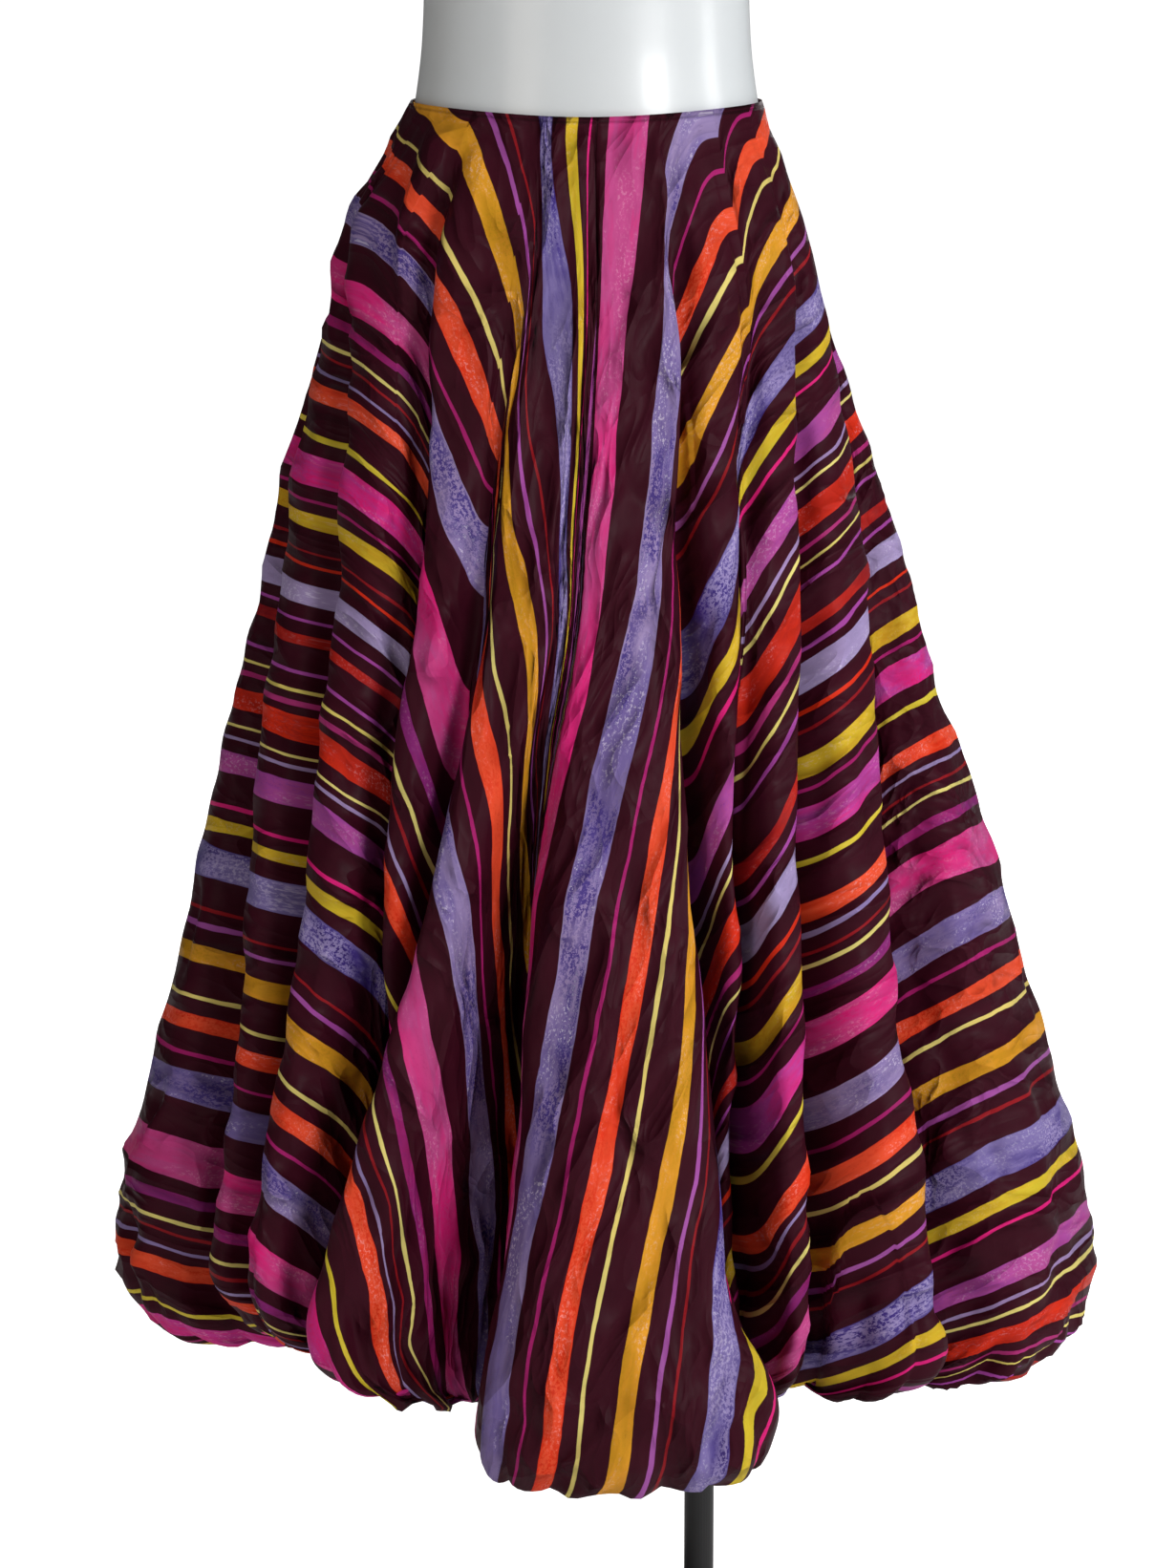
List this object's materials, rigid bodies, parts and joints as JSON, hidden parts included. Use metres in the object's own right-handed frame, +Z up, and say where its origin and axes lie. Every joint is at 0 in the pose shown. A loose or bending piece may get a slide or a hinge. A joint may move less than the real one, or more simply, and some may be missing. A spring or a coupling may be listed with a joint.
{
  "type": "balloon skirt on dress form",
  "caption": "Full-circle striped balloon skirt with a turned-under hem and hinged zip pull, worn on a limbless dress form with a pole and a round base.",
  "frame": {"origin": "centre of the base plate's underside, on the skirt's axis", "axes": "+Z up along the form, -Y towards the skirt's centre front, +X towards the viewer's right in the picture"},
  "size_m": [0.8002, 0.7476, 1.939],
  "materials": {
    "skirt_fabric": "smooth plain-woven cotton and silk with a soft sheen, dark aubergine ground printed with painted-looking stripes",
    "form_white": "smooth glossy white",
    "pole_black": "satin black",
    "fitting_steel": "brushed",
    "zip_metal": "satin, dyed to match the ground"
  },
  "bodies": {
    "skirt_and_form": {"skirt_panel_left": "skirt_fabric", "skirt_panel_right": "skirt_fabric", "dress_form": "form_white", "form_socket": "fitting_steel", "pole": "pole_black", "base_plate": "pole_black", "base_collar": "fitting_steel", "zip_slider": "zip_metal"},
    "zip_pull": {"zip_pull": "zip_metal"}
  },
  "joints": [
    {"name": "zip_pull_hinge", "type": "hinge", "parent": "skirt_and_form", "child": "zip_pull", "pos_m": [-0.01222, 0.10905, 1.30906], "axis": [0.9874, 0.1205, -0.1029], "range_deg": [0, 140]}
  ]
}
